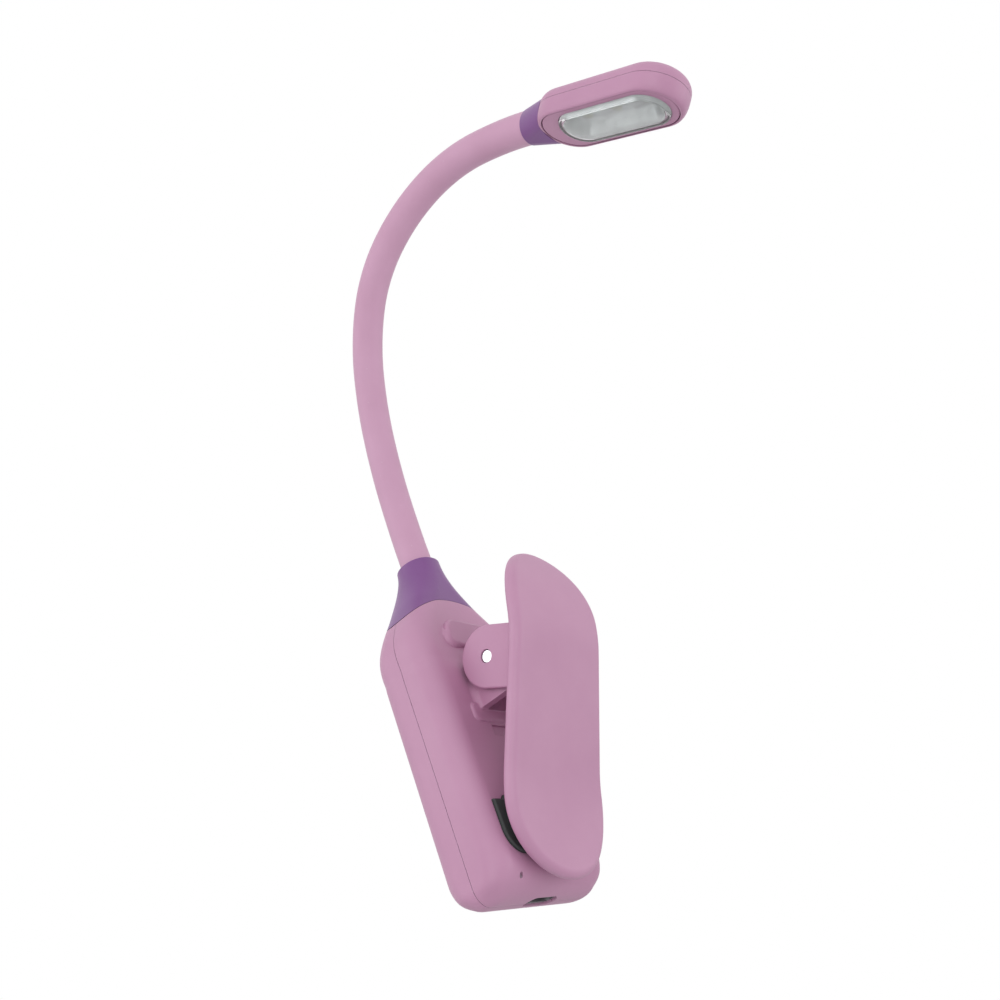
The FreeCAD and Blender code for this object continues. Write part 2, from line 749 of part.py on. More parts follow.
# ---------------------------------------------------------------- lamp head
def head_frame(frames):
    """Placement of the head: X along it, Y across, Z away from the lens."""
    point, tangent = frames[-1][0], frames[-1][3]
    across = X_AXIS - tangent * X_AXIS.dot(tangent)
    across.normalize()
    up = tangent.cross(across)
    if up.z < 0:
        across, up = across * -1, up * -1
    roll = FreeCAD.Rotation(tangent, head_roll)
    return frame_placement(point, tangent, roll.multVec(across), roll.multVec(up))


def head_plate(length, width, low, high, middle=head_middle):
    """Obround plate along the head, between two heights over the neck axis."""
    plate = obround_prism(length, width, high - low)
    plate.translate(Vector(middle, 0, low))
    return plate


def top_edges(shape, z):
    return [e for e in shape.Edges if all(abs(v.Point.z - z) < same for v in e.Vertexes)]


def wire_hole():
    return cylinder(head_wire_way, Vector(0, 0, 0), X_AXIS, head_setback + 2 * head_wall)


def cover_form():
    """Outside of the top cover: an obround plate with a full rounding."""
    cover = head_plate(head_length, head_width, head_parting_rise + head_seam, head_top_rise)
    return cover.makeFillet(head_cover_round, top_edges(cover, head_top_rise))


def head_top_cover():
    ceiling = head_top_rise - head_wall
    hollow = head_plate(head_length - 2 * head_wall, head_width - 2 * head_wall,
                        head_parting_rise - overcut, ceiling)
    hollow = hollow.makeFillet(head_cover_round - head_wall, top_edges(hollow, ceiling))
    return cover_form().cut(hollow).cut(wire_hole())


def lens_stack(margin, low, high):
    """Obround layer of the lens, tray and board, wider than the window by margin."""
    return head_plate(lens_length + 2 * margin, lens_width + 2 * margin, low, high, window_middle)


def barrel_wire(turn):
    """Outline of the housing where its wall has turned in by an angle, 0 at full width."""
    inset = head_barrel_inset * (1 - cos(turn))
    depth = head_barrel_height * sin(turn)
    half_x, half_y = head_length / 2 - inset, head_width / 2 - inset
    wire = rounded_rectangle(half_x, half_y, half_y - tiny)
    wire.translate(Vector(head_middle, 0, head_barrel_height - head_face_drop - depth))
    return wire


def housing_form():
    """Outside of the housing: straight at the seam, a barrel rounding down to the lens face."""
    turns = [pi / 2 * i / head_barrel_steps for i in range(head_barrel_steps, -1, -1)]
    barrel = Part.makeLoft([barrel_wire(turn) for turn in turns], True, False)
    band = head_plate(head_length, head_width, head_barrel_height - head_face_drop,
                      head_parting_rise)
    return fused(barrel, band)


def head_housing():
    low, high = -head_face_drop, head_parting_rise
    bezel_seat = head_plate(bezel_length + 2 * bezel_gap, bezel_width + 2 * bezel_gap,
                            low - overcut, bezel_high)
    cavity = lens_stack(lens_flange + cavity_gap, low, high + overcut)
    return housing_form().cut(bezel_seat).cut(cavity).cut(wire_hole())


def head_bezel():
    bezel = head_plate(bezel_length, bezel_width, bezel_low, bezel_high)
    bezel = bezel.makeFillet(bezel_round, top_edges(bezel, bezel_low))
    return bezel.cut(lens_stack(lens_gap, bezel_low - overcut, bezel_high + overcut))


def head_lens():
    """Clear window that fills the bezel, with a lip behind it."""
    front = -head_face_drop - lens_proud
    behind = lens_flange_low + lens_flange_thickness
    lens = lens_stack(0, front, behind)
    lens = lens.makeFillet(lens_round, top_edges(lens, front))
    return fused(lens, lens_stack(lens_flange, lens_flange_low, behind))


def led_wells(gap, low, high):
    """Square prisms at the lights' places, wider than the lights by gap all round."""
    half = led_size / 2 + gap
    first = window_middle - led_spacing * (led_count - 1) / 2
    places = [first + led_spacing * i for i in range(led_count)]
    return Part.makeCompound([box(x - half, x + half, -half, half, low, high) for x in places])


def reflector_tray():
    """Shallow bright tray behind the lens, with a square well for each light."""
    tray = lens_stack(lens_flange, tray_low, tray_high)
    tub = lens_stack(-tray_rim / 2, tray_low - overcut, tray_high - tray_floor)
    return tray.cut(tub).cut(led_wells(led_gap, tray_low - overcut, tray_high + overcut))


def led_board():
    low = tray_high + stack_gap
    return lens_stack(lens_flange / 2, low, low + led_board_thickness)


def led_chips():
    return led_wells(0, tray_high - led_height, tray_high)


def head_ferrule():
    """Coloured cone where the neck enters the head, flaring to the head's own outline."""
    middle = (head_top_rise - head_face_drop) / 2
    small = neck_radius + ferrule_step
    wide_y = head_width / 2 - ferrule_side_inset
    wide_z = (head_top_rise + head_face_drop) / 2 - ferrule_top_inset
    ends = [(ferrule_gap, 0, small, small), (head_setback + ferrule_lap, middle, wide_y, wide_z)]
    sections = []
    for x, rise, half_y, half_z in ends:
        wire = rounded_rectangle(half_y, half_z, min(half_y, half_z) - tiny)
        wire.translate(Vector(0, rise, 0))
        sections.append(placed(wire, frame_placement(Vector(x, 0, 0), Y_AXIS, Z_AXIS, X_AXIS)))
    cone = Part.makeLoft(sections, True, True)
    cone = cone.cut(housing_form()).cut(cover_form())
    bore = cylinder(neck_core_radius + neck_core_clearance, Vector(0, 0, 0), X_AXIS,
                    neck_core_tail + neck_core_end_gap)
    return cone.cut(bore).cut(wire_hole())


# ---------------------------------------------------------------- inside the case
def battery_cell():
    y0 = pad_thickness + pad_backing + battery_gap
    low = case_bottom_z + battery_rise
    cell = box(-battery_width / 2, battery_width / 2, y0, y0 + battery_depth, low,
               low + battery_height)
    long_edges = [e for e in cell.Edges if abs(e.Length - battery_height) < same]
    return cell.makeFillet(battery_round, long_edges)


def main_board():
    low = case_bottom_z + case_wall + board_floor_gap
    board = box(-board_width / 2, board_width / 2, board_y, board_y + board_thickness, low,
                low + board_height)
    ways = screw_bosses(centre_y, back_y, screw_post_radius + board_gap)
    return board.cut(ways)


def usb_socket():
    half_x, half_y = usb_width / 2, usb_height / 2
    body = prism(rounded_rectangle(half_x, half_y, half_y - tiny), Vector(0, 0, usb_length))
    inner_x, inner_y = half_x - usb_sheet, half_y - usb_sheet
    mouth = prism(rounded_rectangle(inner_x, inner_y, inner_y - tiny),
                  Vector(0, 0, usb_length - usb_back_wall))
    half_tongue = usb_tongue_thickness / 2
    tongue = box(-inner_x + inner_y, inner_x - inner_y, -half_tongue, half_tongue,
                 usb_sink, usb_length - usb_back_wall)
    socket = fused(body.cut(mouth), tongue)
    socket.translate(Vector(0, usb_y, case_bottom_z + usb_sink))
    return socket


def tactile_switch():
    y0 = board_y + board_thickness
    half = switch_size / 2
    base = box(-half, half, y0, y0 + switch_height, button_z - half, button_z + half)
    plunger_top = button_underside_y - button_travel - switch_play
    plunger = cylinder(switch_plunger_radius, Vector(0, y0, button_z), Y_AXIS, plunger_top - y0)
    return fused(base, plunger)


def button_cap():
    outer_y = back_y + button_proud
    top = button_prism(0, button_underside_y, outer_y)
    rim = [e for e in top.Edges if all(abs(v.Point.y - outer_y) < same for v in e.Vertexes)]
    top = top.makeFillet(button_edge_round, rim)
    flange = button_prism(button_flange, button_underside_y, button_underside_y + button_flange)
    return fused(top, flange)


def charge_light():
    start = Vector(indicator_x, indicator_y, indicator_z)
    return cylinder(indicator_radius - indicator_fit, start, Y_AXIS, indicator_length)


def screw_cross(x, z):
    """Two crossed slots sunk into a screw's head."""
    long_half, thin_half = screw_cross_length / 2, screw_cross_width / 2
    floor_y = back_y - screw_sink - screw_cross_depth
    slots = [box(x - a, x + a, floor_y, back_y, z - b, z + b)
             for a, b in ((long_half, thin_half), (thin_half, long_half))]
    return slots[0].fuse(slots[1])


def case_screws():
    screws = []
    head_y = back_y - screw_head_depth + screw_fit
    for x, z in screw_places():
        head = cylinder(screw_head_radius, Vector(x, head_y, z), Y_AXIS,
                        back_y - screw_sink - head_y)
        shank = cylinder(screw_radius - screw_fit, Vector(x, head_y - screw_length, z), Y_AXIS,
                         screw_length)
        screws.append(fused(head, shank).cut(screw_cross(x, z)))
    return Part.makeCompound(screws)


# ---------------------------------------------------------------- build
def build():
    frames = neck_frames()
    head_place = head_frame(frames)
    nodes = {
        "front_shell": front_shell(),
        "back_shell": back_shell(),
        "neck_collar": neck_collar(),
        "body_grip_pad": body_pad(),
        "clip_lever": clip_lever(),
        "lever_grip_pad": lever_grip_pad(),
        "hinge_pin": hinge_pin(),
        "torsion_spring": torsion_spring(),
        "battery_cell": battery_cell(),
        "main_board": main_board(),
        "usb_socket": usb_socket(),
        "tactile_switch": tactile_switch(),
        "button_cap": button_cap(),
        "charge_light": charge_light(),
        "case_screws": case_screws(),
    }
    for index in range(len(neck_forward_bends)):
        nodes["neck_sleeve_%d" % (index + 1)] = neck_sleeve(index, frames)
        nodes["neck_core_%d" % (index + 1)] = neck_core(index, frames)
    head_parts = {
        "head_ferrule": head_ferrule(),
        "head_top_cover": head_top_cover(),
        "head_housing": head_housing(),
        "head_bezel": head_bezel(),
        "head_lens": head_lens(),
        "reflector_tray": reflector_tray(),
        "led_board": led_board(),
        "led_chips": led_chips(),
    }
    for name, shape in head_parts.items():
        nodes[name] = placed(shape, head_place)
    return nodes


os.makedirs("parts", exist_ok=True)
for name, shape in build().items():
    shape.exportStep("parts/" + name + ".step")
    print("%-16s %d solids, %.1f mm3, valid %s" % (
        name, len(shape.Solids), shape.Volume, shape.isValid()))
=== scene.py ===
import math

import bmesh
import bpy
import numpy as np
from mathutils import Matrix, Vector


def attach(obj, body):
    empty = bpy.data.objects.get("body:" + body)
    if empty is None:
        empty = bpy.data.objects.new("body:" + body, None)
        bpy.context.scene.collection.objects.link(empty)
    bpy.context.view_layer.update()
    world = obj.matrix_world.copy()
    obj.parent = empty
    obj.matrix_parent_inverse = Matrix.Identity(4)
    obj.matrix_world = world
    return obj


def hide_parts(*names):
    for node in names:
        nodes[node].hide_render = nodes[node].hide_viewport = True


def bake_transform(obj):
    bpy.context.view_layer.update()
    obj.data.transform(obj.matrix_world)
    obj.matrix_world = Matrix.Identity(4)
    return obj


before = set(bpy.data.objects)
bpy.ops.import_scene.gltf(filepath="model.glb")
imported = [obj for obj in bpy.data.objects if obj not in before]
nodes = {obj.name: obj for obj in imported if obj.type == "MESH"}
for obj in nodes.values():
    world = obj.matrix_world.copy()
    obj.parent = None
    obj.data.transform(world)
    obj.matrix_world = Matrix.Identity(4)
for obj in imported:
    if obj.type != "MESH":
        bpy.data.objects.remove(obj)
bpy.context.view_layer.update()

# ---------------------------------------------------------------------------
# Camera. It looks up at the lamp from the front left, from below the body, and
# leans a little, so the lamp body hangs at a slant in the view.
camera_place = (-0.1839, -0.1241, -0.0582)
camera_angles = (123.846, 19.628, -47.933)      # degrees about x, y and z
camera_data = bpy.data.cameras.new("camera")
camera_data.sensor_width = 36.0
camera_data.lens = 37.23
camera_data.clip_start = 0.01
camera = bpy.data.objects.new("camera", camera_data)
camera.location = camera_place
camera.rotation_euler = [math.radians(angle) for angle in camera_angles]
bpy.context.scene.collection.objects.link(camera)
bpy.context.scene.camera = camera
bpy.context.scene.view_settings.view_transform = "Standard"


# ---------------------------------------------------------------------------
# Body shells, clip lever, and the lamp head's cover, housing and bezel: injection-moulded
# ABS, dyed mauve right through. The steel mould was spark eroded, so the skin is satin,
# and the corners that hands rub are a little lighter and smoother.
def linear(hex_colour):
    """An sRGB hex colour such as C99AB8 as linear red, green, blue and alpha:
    each channel c becomes ((c + 0.055) / 1.055) ** 2.4, or c / 12.92 when dark."""
    channels = [int(hex_colour[i:i + 2], 16) / 255 for i in (0, 2, 4)]
    return [c / 12.92 if c <= 0.04045 else ((c + 0.055) / 1.055) ** 2.4 for c in channels] + [1.0]


def node(tree, kind, inputs=None, **settings):
    """Adds one shader node. inputs maps its sockets, by name or number, to another node's
    output, a number, a tuple or a hex colour; settings are the node's own properties."""
    made = tree.nodes.new(kind)
    for name, value in settings.items():
        setattr(made, name, value)
    for socket, value in (inputs or {}).items():
        if isinstance(value, bpy.types.NodeSocket):
            tree.links.new(value, made.inputs[socket])
        else:
            made.inputs[socket].default_value = linear(value) if isinstance(value, str) else value
    return made


def per_mm(size):
    """Texture scale of a pattern whose repeat is a size in millimetres."""
    return 1000.0 / size


def new_material(name):
    """A material with its node tree, its shader and the place on the piece, in metres."""
    material = bpy.data.materials.new(name)
    material.use_nodes = True
    tree = material.node_tree
    place = node(tree, "ShaderNodeTexCoord").outputs["Object"]
    return material, tree, tree.nodes["Principled BSDF"], place


def rubbed_edges(tree, radius_mm, low, high):
    """Where the surface turns sharply: one minus the cosine between the true normal and
    the normal averaged over a radius, stretched between low and high to run from 0 to 1."""
    soft = node(tree, "ShaderNodeBevel", {"Radius": radius_mm / 1000}, samples=6)
    true = node(tree, "ShaderNodeNewGeometry")
    same = node(tree, "ShaderNodeVectorMath", {0: soft.outputs["Normal"],
                                               1: true.outputs["Normal"]},
                operation="DOT_PRODUCT")
    turned = node(tree, "ShaderNodeMath", {0: 1.0, 1: same.outputs["Value"]},
                  operation="SUBTRACT")
    return node(tree, "ShaderNodeMapRange", {"Value": turned.outputs[0], "From Min": low,
                                             "From Max": high}).outputs["Result"]


def deep_shade(hex_colour):
    """A greyer, darker neighbour of a tone, for the painted shade and the dust in corners:
    0.62 of each channel, moved halfway to the three channels' mean."""
    channels = [int(hex_colour[i:i + 2], 16) * 0.62 for i in (0, 2, 4)]
    return "".join("%02X" % round((c + sum(channels) / 3) / 2) for c in channels)


def moulded_plastic(name, tone, deep, rubbed, roughness, grain_mm, grain_depth_mm):
    """Dyed plastic from a spark-eroded mould: two close tones in clouds 16 mm across, a fine
    grain, a waviness 7 mm across, lighter rubbed edges, painted shade with dust that turns
    the tone darker and greyer where ambient occlusion finds corners, and edges that shade
    as if rounded by 0.22 mm. Hairline scuffs are drawn 0.5 mm wide, to show."""
    material, tree, skin, place = new_material(name)
    cloud = node(tree, "ShaderNodeTexNoise", {"Vector": place, "Scale": per_mm(16), "Detail": 4.0})
    share = node(tree, "ShaderNodeMapRange", {"Value": cloud.outputs["Fac"], "From Min": 0.32,
                                              "From Max": 0.68})
    dyed = node(tree, "ShaderNodeMix", {0: share.outputs["Result"], 6: tone, 7: deep},
                data_type="RGBA")
    # Painted shade, with dust: the tone turns darker and greyer where ambient occlusion finds
    # corners and creases.
    corner = node(tree, "ShaderNodeAmbientOcclusion", {"Distance": 0.0018}, samples=4)
    shade_and_dust = node(tree, "ShaderNodeMapRange", {"Value": corner.outputs["AO"], "From Min": 0.15,
                                              "From Max": 0.75, "To Min": 0.34, "To Max": 0.0})
    shaded_and_dusted = node(tree, "ShaderNodeMix", {0: shade_and_dust.outputs["Result"], 6: dyed.outputs[2],
                                          7: deep_shade(deep)}, data_type="RGBA")
    patchy = node(tree, "ShaderNodeTexNoise", {"Vector": place, "Scale": per_mm(2.2),
                                               "Detail": 5.0})
    worn = node(tree, "ShaderNodeMath", {0: rubbed_edges(tree, radius_mm=0.5, low=0.03, high=0.22),
                                         1: patchy.outputs["Fac"]},
                operation="MULTIPLY", use_clamp=True).outputs[0]
    lit = node(tree, "ShaderNodeMix", {0: worn, 6: shaded_and_dusted.outputs[2], 7: rubbed}, data_type="RGBA")
    tree.links.new(lit.outputs[2], skin.inputs["Base Color"])

    grain = node(tree, "ShaderNodeTexNoise", {"Vector": place, "Scale": per_mm(grain_mm),
                                              "Detail": 3.0, "Roughness": 0.6})
    scuff_place = node(tree, "ShaderNodeMapping", {"Vector": place, "Rotation": (0.5, 0.9, 0.35),
                                                   "Scale": (1.0, 1.0, 0.03)})
    scuffs = node(tree, "ShaderNodeTexNoise", {"Vector": scuff_place.outputs["Vector"],
                                               "Scale": per_mm(0.5), "Detail": 2.0})
    scuffed = node(tree, "ShaderNodeMapRange", {"Value": scuffs.outputs["Fac"], "From Min": 0.66,
                                                "From Max": 0.74})
    grained = node(tree, "ShaderNodeMapRange", {"Value": grain.outputs["Fac"],
                                                "To Min": roughness - 0.07,
                                                "To Max": roughness + 0.07})
    rubbed_smooth = node(tree, "ShaderNodeMath", {0: worn, 1: -0.16, 2: grained.outputs["Result"]},
                         operation="MULTIPLY_ADD")
    rough = node(tree, "ShaderNodeMath", {0: scuffed.outputs["Result"], 1: -0.10,
                                          2: rubbed_smooth.outputs[0]},
                 operation="MULTIPLY_ADD", use_clamp=True)
    tree.links.new(rough.outputs[0], skin.inputs["Roughness"])

    round_edge = node(tree, "ShaderNodeBevel", {"Radius": 0.22 / 1000}, samples=6)
    wave = node(tree, "ShaderNodeTexNoise", {"Vector": place, "Scale": per_mm(7), "Detail": 1.0})
    slow = node(tree, "ShaderNodeBump", {"Height": wave.outputs["Fac"], "Strength": 0.35,
                                         "Distance": 0.00006,
                                         "Normal": round_edge.outputs["Normal"]})
    fine = node(tree, "ShaderNodeBump", {"Height": grain.outputs["Fac"], "Strength": 0.5,
                                         "Distance": grain_depth_mm / 1000,
                                         "Normal": slow.outputs["Normal"]})
    tree.links.new(fine.outputs["Normal"], skin.inputs["Normal"])
    skin.inputs["IOR"].default_value = 1.54
    return material


def dress(material, *names):
    """Gives the named CAD pieces a material."""
    for name in names:
        mesh = nodes[name].data
        mesh.materials.clear()
        mesh.materials.append(material)


# Spark-eroded ABS: satin, even and slightly chalky, with soft highlights. The real grain of
# 0.1 mm is drawn 0.4 mm across, to show.
satin_abs = moulded_plastic("satin_mauve_abs", "CB97B7", "C691B2", "DBACCB",
                            roughness=0.47, grain_mm=0.4, grain_depth_mm=0.010)
dress(satin_abs, "front_shell", "back_shell", "clip_lever", "head_top_cover", "head_housing",
      "head_bezel")

# ---------------------------------------------------------------------------
# Soft forms round the hinge, in one moulding with the front shell and of the same ABS.
# Where the raised bar, the step and the cheeks meet the front face, the mould runs them
# together with swept fillets and leaves no sharp corners.
face_y = 0.0007
blend_sink = 0.00004           # where a form has no rise it lies this far under the skin
blend_back = 0.0006            # and its flat back this far inside the wall
bar_end_start = (0.0040, 0.0457)
bar_end_tip = (0.0080, 0.0450)
bar_end_radius = 0.0027
bar_end_rise = 0.00102
bar_end_edge = 0.0014
face_fall = 0.6                # the face curves back beyond the bar's end, at this slope
face_fall_width = 0.0008
bar_z = (0.0418, 0.0480)
bar_count = (84, 62)
step_half_width = 0.0106
step_half_height = 0.0024
step_middle = 0.0259
step_corner = 0.0016
step_rise = 0.00057
step_edge = 0.0010
cheek_side = 0.0076
cheek_fillet = 0.0017
fillet_low, fillet_low_fade = 0.0262, 0.0005
fillet_high, fillet_high_fade = 0.0335, 0.003
blend_sharp = math.radians(70)         # edges that turn by more than this stay sharp


def swell(inside, width):
    """Rise of a rounded edge from 0 at its outline to 1 at width inside it:
    (1 - (1 - t)**2) ** 0.75, with t the share of width."""
    return (1 - (1 - np.clip(inside / width, 0, 1)) ** 2) ** 0.75


def capsule_inside(x, z, start, end, radius):
    """Distance inside a bar with round ends: radius less the distance to its axis."""
    run = np.subtract(end, start)
    share = np.clip(((x - start[0]) * run[0] + (z - start[1]) * run[1]) / run.dot(run), 0, 1)
    return radius - np.hypot(x - start[0] - share * run[0], z - start[1] - share * run[1])


def bar_rise(x, z):
    """The fuller, slightly drooping ends of the bar above the ears: the bar's rise times the
    swell of the distance inside its outline, less the face's fall times the distance out."""
    inside = capsule_inside(np.abs(x), z, bar_end_start, bar_end_tip, bar_end_radius)
    return (bar_end_rise * swell(inside, bar_end_edge)
            - face_fall * np.clip(-inside, 0, face_fall_width))


def root_rise(x, z):
    """The step below the ears with a rounded outer corner, and the fillet between a
    cheek's side and the face: height r - sqrt(r**2 - (r - d)**2) at d from the side."""
    side = np.abs(x)
    out_x = np.maximum(side - (step_half_width - step_corner), 0)
    out_z = np.maximum(np.abs(z - step_middle) - (step_half_height - step_corner), 0)
    step = step_rise * swell(step_corner - np.hypot(out_x, out_z), step_edge)
    way = np.clip((side - cheek_side) / cheek_fillet, 0, 1)
    fillet = cheek_fillet * (1 - np.sqrt(np.clip(1 - (1 - way) ** 2, 0, 1)))
    fade = (np.clip((z - fillet_low) / fillet_low_fade, 0, 1)
            * np.clip((fillet_high - z) / fillet_high_fade, 0, 1))
    return np.maximum(step, fillet * fade)


def add_piece(name, points, faces):
    """A smooth mesh at the origin, from an array of points and an array of four-cornered
    faces that number them."""
    mesh = bpy.data.meshes.new(name)
    mesh.from_pydata(points.reshape(-1, 3).tolist(), [], faces.reshape(-1, 4).tolist())
    mesh.shade_smooth()
    piece = bpy.data.objects.new(name, mesh)
    bpy.context.scene.collection.objects.link(piece)
    return piece


def face_blend(name, x_range, z_range, rise, count, slot_half=0.0, slot_low=1.0):
    """A height field over the front face, y = face + sink - rise(x, z), closed by a flat back
    inside the wall. Squares over the spring's slot, nearer than slot_half to the middle and
    above slot_low, are left out, and an edge that only one square uses gets a wall."""
    x, z = np.meshgrid(np.linspace(*x_range, count[0]), np.linspace(*z_range, count[1]))
    front = np.stack([x, face_y + blend_sink - rise(x, z), z], -1).reshape(-1, 3)
    back = front * (1, 0, 1) + (0, face_y + blend_back, 0)
    index = np.arange(x.size).reshape(x.shape)
    quads = np.stack([index[:-1, :-1], index[:-1, 1:], index[1:, 1:], index[1:, :-1]],
                     -1).reshape(-1, 4)
    middle = front[quads].mean(1)
    quads = quads[(np.abs(middle[:, 0]) > slot_half) | (middle[:, 2] < slot_low)]
    edges = np.stack([quads, np.roll(quads, -1, axis=1)], -1).reshape(-1, 2)
    back_again = np.isin(edges[:, 1] * x.size + edges[:, 0], edges[:, 0] * x.size + edges[:, 1])
    rim, after = edges[~back_again].T
    walls = np.stack([after, rim, rim + x.size, after + x.size], -1)
    piece = add_piece(name, np.concatenate([front, back]),
                      np.concatenate([quads, quads[:, ::-1] + x.size, walls]))
    piece.data.set_sharp_from_angle(angle=blend_sharp)
    piece.data.materials.append(satin_abs)
    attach(piece, "case")


face_blend("left_bar_blend", x_range=(-0.0113, -0.0030), z_range=bar_z, rise=bar_rise,
           count=bar_count)
face_blend("right_bar_blend", x_range=(0.0030, 0.0113), z_range=bar_z, rise=bar_rise,
           count=bar_count)
face_blend("root_blend", x_range=(-0.0114, 0.0114), z_range=(0.0230, 0.0340), rise=root_rise,
           count=(172, 84), slot_half=0.0054, slot_low=0.0265)

# ---------------------------------------------------------------------------
# Collar, ferrule and power button: the same ABS dyed purple. Their moulds were polished
# further, so they shine a little more than the mauve parts beside them.
purple_abs = moulded_plastic("satin_purple_abs", "875395", "7F4C8C", "A172AF",
                             roughness=0.40, grain_mm=0.4, grain_depth_mm=0.008)
dress(purple_abs, "neck_collar", "head_ferrule", "button_cap")

# ---------------------------------------------------------------------------
# Grip pads: thermoplastic rubber moulded into the body and the lever. It is nearly
# black, matt, and a little paler where it is rubbed. Its grain is drawn 0.6 mm across,
# coarser than the real one, to show.
grip_rubber = moulded_plastic("moulded_grip_rubber", "3D4241", "353A39", "5A605E",
                              roughness=0.70, grain_mm=0.6, grain_depth_mm=0.020)
dress(grip_rubber, "body_grip_pad", "lever_grip_pad")


# ---------------------------------------------------------------------------
# Hinge pin, torsion spring, the cores of the neck, case screws and charging socket: steel.
# The pin is turned, the spring and the cores are drawn wire, the screws are zinc plated
# and the socket's shroud is stamped from sheet. Fine lines blur what each reflects.
def drawn_steel(name, bright, dull, roughness, line_mm, axis_scale):
    """Metal with fine tool lines: noise with features of line_mm, drawn out along the axis
    whose scale is small. A film 3 mm across makes it duller in patches. Real lines are
    finer than 0.1 mm and are drawn coarser, to show."""
    material, tree, skin, place = new_material(name)
    along = node(tree, "ShaderNodeMapping", {"Vector": place, "Scale": axis_scale})
    lines = node(tree, "ShaderNodeTexNoise", {"Vector": along.outputs["Vector"],
                                              "Scale": per_mm(line_mm), "Detail": 4.0})
    film = node(tree, "ShaderNodeTexNoise", {"Vector": place, "Scale": per_mm(3), "Detail": 3.0})
    plated = node(tree, "ShaderNodeMix", {0: film.outputs["Fac"], 6: bright, 7: dull},
                  data_type="RGBA")
    tree.links.new(plated.outputs[2], skin.inputs["Base Color"])
    rough = node(tree, "ShaderNodeMapRange", {"Value": lines.outputs["Fac"],
                                              "To Min": roughness - 0.08,
                                              "To Max": roughness + 0.12})
    tree.links.new(rough.outputs["Result"], skin.inputs["Roughness"])
    bump = node(tree, "ShaderNodeBump", {"Height": lines.outputs["Fac"], "Strength": 0.3,
                                         "Distance": 0.000008})
    tree.links.new(bump.outputs["Normal"], skin.inputs["Normal"])
    skin.inputs["Metallic"].default_value = 1.0
    return material


pin_steel = drawn_steel("turned_pin_steel", "ECECEE", "DADADD",
                        roughness=0.2, line_mm=0.3, axis_scale=(0.1, 1, 1))
wire_steel = drawn_steel("drawn_spring_wire", "A4A6AA", "83868B",
                         roughness=0.3, line_mm=0.2, axis_scale=(1, 1, 1))
screw_steel = drawn_steel("zinc_plated_steel", "B4B4B0", "9C9C9A",
                          roughness=0.34, line_mm=0.3, axis_scale=(1, 0.1, 1))
shroud_steel = drawn_steel("stamped_shroud_steel", "C4C2C6", "ABA8AD",
                           roughness=0.38, line_mm=0.3, axis_scale=(1, 1, 0.1))
dress(pin_steel, "hinge_pin")
dress(wire_steel, "torsion_spring", *["neck_core_%d" % k for k in range(1, 9)])
dress(screw_steel, "case_screws")
dress(shroud_steel, "usb_socket")

# ---------------------------------------------------------------------------
# Parts shut inside: the foil-wrapped lithium cell, bright and crinkled, the woven-glass
# boards under their masks, green in the body and white in the head, and the small black
# nylon switch below the button.
foil_material, foil_tree, foil_skin, foil_place = new_material("aluminised_foil")
crinkle = node(foil_tree, "ShaderNodeTexVoronoi", {"Vector": foil_place, "Scale": per_mm(2.5)})
foil_bump = node(foil_tree, "ShaderNodeBump", {"Height": crinkle.outputs["Distance"],
                                               "Strength": 0.3, "Distance": 0.0001})
foil_tree.links.new(foil_bump.outputs["Normal"], foil_skin.inputs["Normal"])
foil_skin.inputs["Base Color"].default_value = linear("C6C8CA")
foil_skin.inputs["Metallic"].default_value = 0.9
foil_skin.inputs["Roughness"].default_value = 0.34
dress(foil_material, "battery_cell")


def masked_laminate(name, tone, deep, roughness):
    """Woven-glass laminate under a printed mask: crossed threads, as the product of two sine
    waves, show faintly in colour and height. The real threads are 0.5 mm apart and are
    drawn 3.1 mm apart, to show: a wave repeats after 0.314 of its unit, here of 10 mm."""
    material, tree, skin, place = new_material(name)
    threads = [node(tree, "ShaderNodeTexWave", {"Vector": place, "Scale": per_mm(10)},
                    bands_direction=axis).outputs["Fac"] for axis in ("X", "Z")]
    weave = node(tree, "ShaderNodeMath", {0: threads[0], 1: threads[1]}, operation="MULTIPLY")
    masked = node(tree, "ShaderNodeMix", {0: weave.outputs[0], 6: tone, 7: deep},
                  data_type="RGBA")
    tree.links.new(masked.outputs[2], skin.inputs["Base Color"])
    bump = node(tree, "ShaderNodeBump", {"Height": weave.outputs[0], "Strength": 0.2,
                                         "Distance": 0.00002})
    tree.links.new(bump.outputs["Normal"], skin.inputs["Normal"])
    skin.inputs["Roughness"].default_value = roughness
    return material


green_laminate = masked_laminate("green_glass_laminate", "2F6B48", "285E3F", roughness=0.35)
white_laminate = masked_laminate("white_glass_laminate", "E9EAE6", "DDDEDA", roughness=0.38)
black_nylon = moulded_plastic("black_switch_nylon", "26272A", "202124", "3A3B40",
                              roughness=0.45, grain_mm=0.3, grain_depth_mm=0.006)
dress(green_laminate, "main_board")
dress(white_laminate, "led_board")
dress(black_nylon, "tactile_switch")

# ---------------------------------------------------------------------------
# Gooseneck sleeve: one silicone rubber tube, extruded and pulled over a bendable steel
# core. Its skin is soft and dry, with faint die lines along it and a few specks of lint.
link_length = 0.018
sleeve_radius = 0.004
sleeve_bore = 0.0033
row_step = 0.0006
points_round = 64
forward_bends = (8.0, 9.0, 10.5, 15.8, 24.2, 21.4, 26.5, 14.5)         # degrees, link by link
sideways_bends = (-6.8, -4.5, -2.2, 0.6, 2.5, -0.5, -4.5, -8.7)
neck_base = np.array([0.0, 0.009, 0.074])
neck_insert = 0.006
links = len(forward_bends)
bends = np.radians(np.stack([forward_bends, sideways_bends, np.zeros(links)], axis=-1))


def turn(axis, angle):
    """Rotation matrices about unit axes, by Rodrigues' formula:
    I + sin(angle) K + (1 - cos(angle)) K K, with K the cross-product matrix of the axis."""
    cross = np.swapaxes(np.cross(axis[..., None, :], np.eye(3)), -1, -2)
    angle = np.asarray(angle)[..., None, None]
    return np.eye(3) + np.sin(angle) * cross + (1 - np.cos(angle)) * cross @ cross


